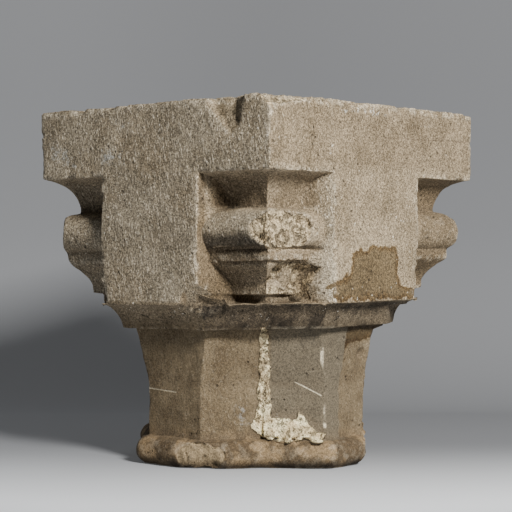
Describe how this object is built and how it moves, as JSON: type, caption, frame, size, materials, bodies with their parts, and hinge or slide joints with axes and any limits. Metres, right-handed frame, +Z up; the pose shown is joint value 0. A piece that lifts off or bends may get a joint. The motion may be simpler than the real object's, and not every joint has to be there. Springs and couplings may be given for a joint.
{
  "type": "column capital",
  "caption": "Square carved stone capital with flat panels, moulded corners, an eight-sided hollow band and an eight-sided neck on a broken roll.",
  "frame": {"origin": "middle of the underside, at the height of the bed it stands on", "axes": "+Z up from the neck to the abacus; the four panelled faces look along +X, -X, +Y and -Y, and the broken front corner is at +X, -Y"},
  "size_m": [0.28, 0.28, 0.3127],
  "materials": {
    "limestone": "rough, weathered, dull grey-brown with pale dust and ochre stains"
  },
  "bodies": {
    "root": {"capital": "limestone"}
  },
  "joints": []
}
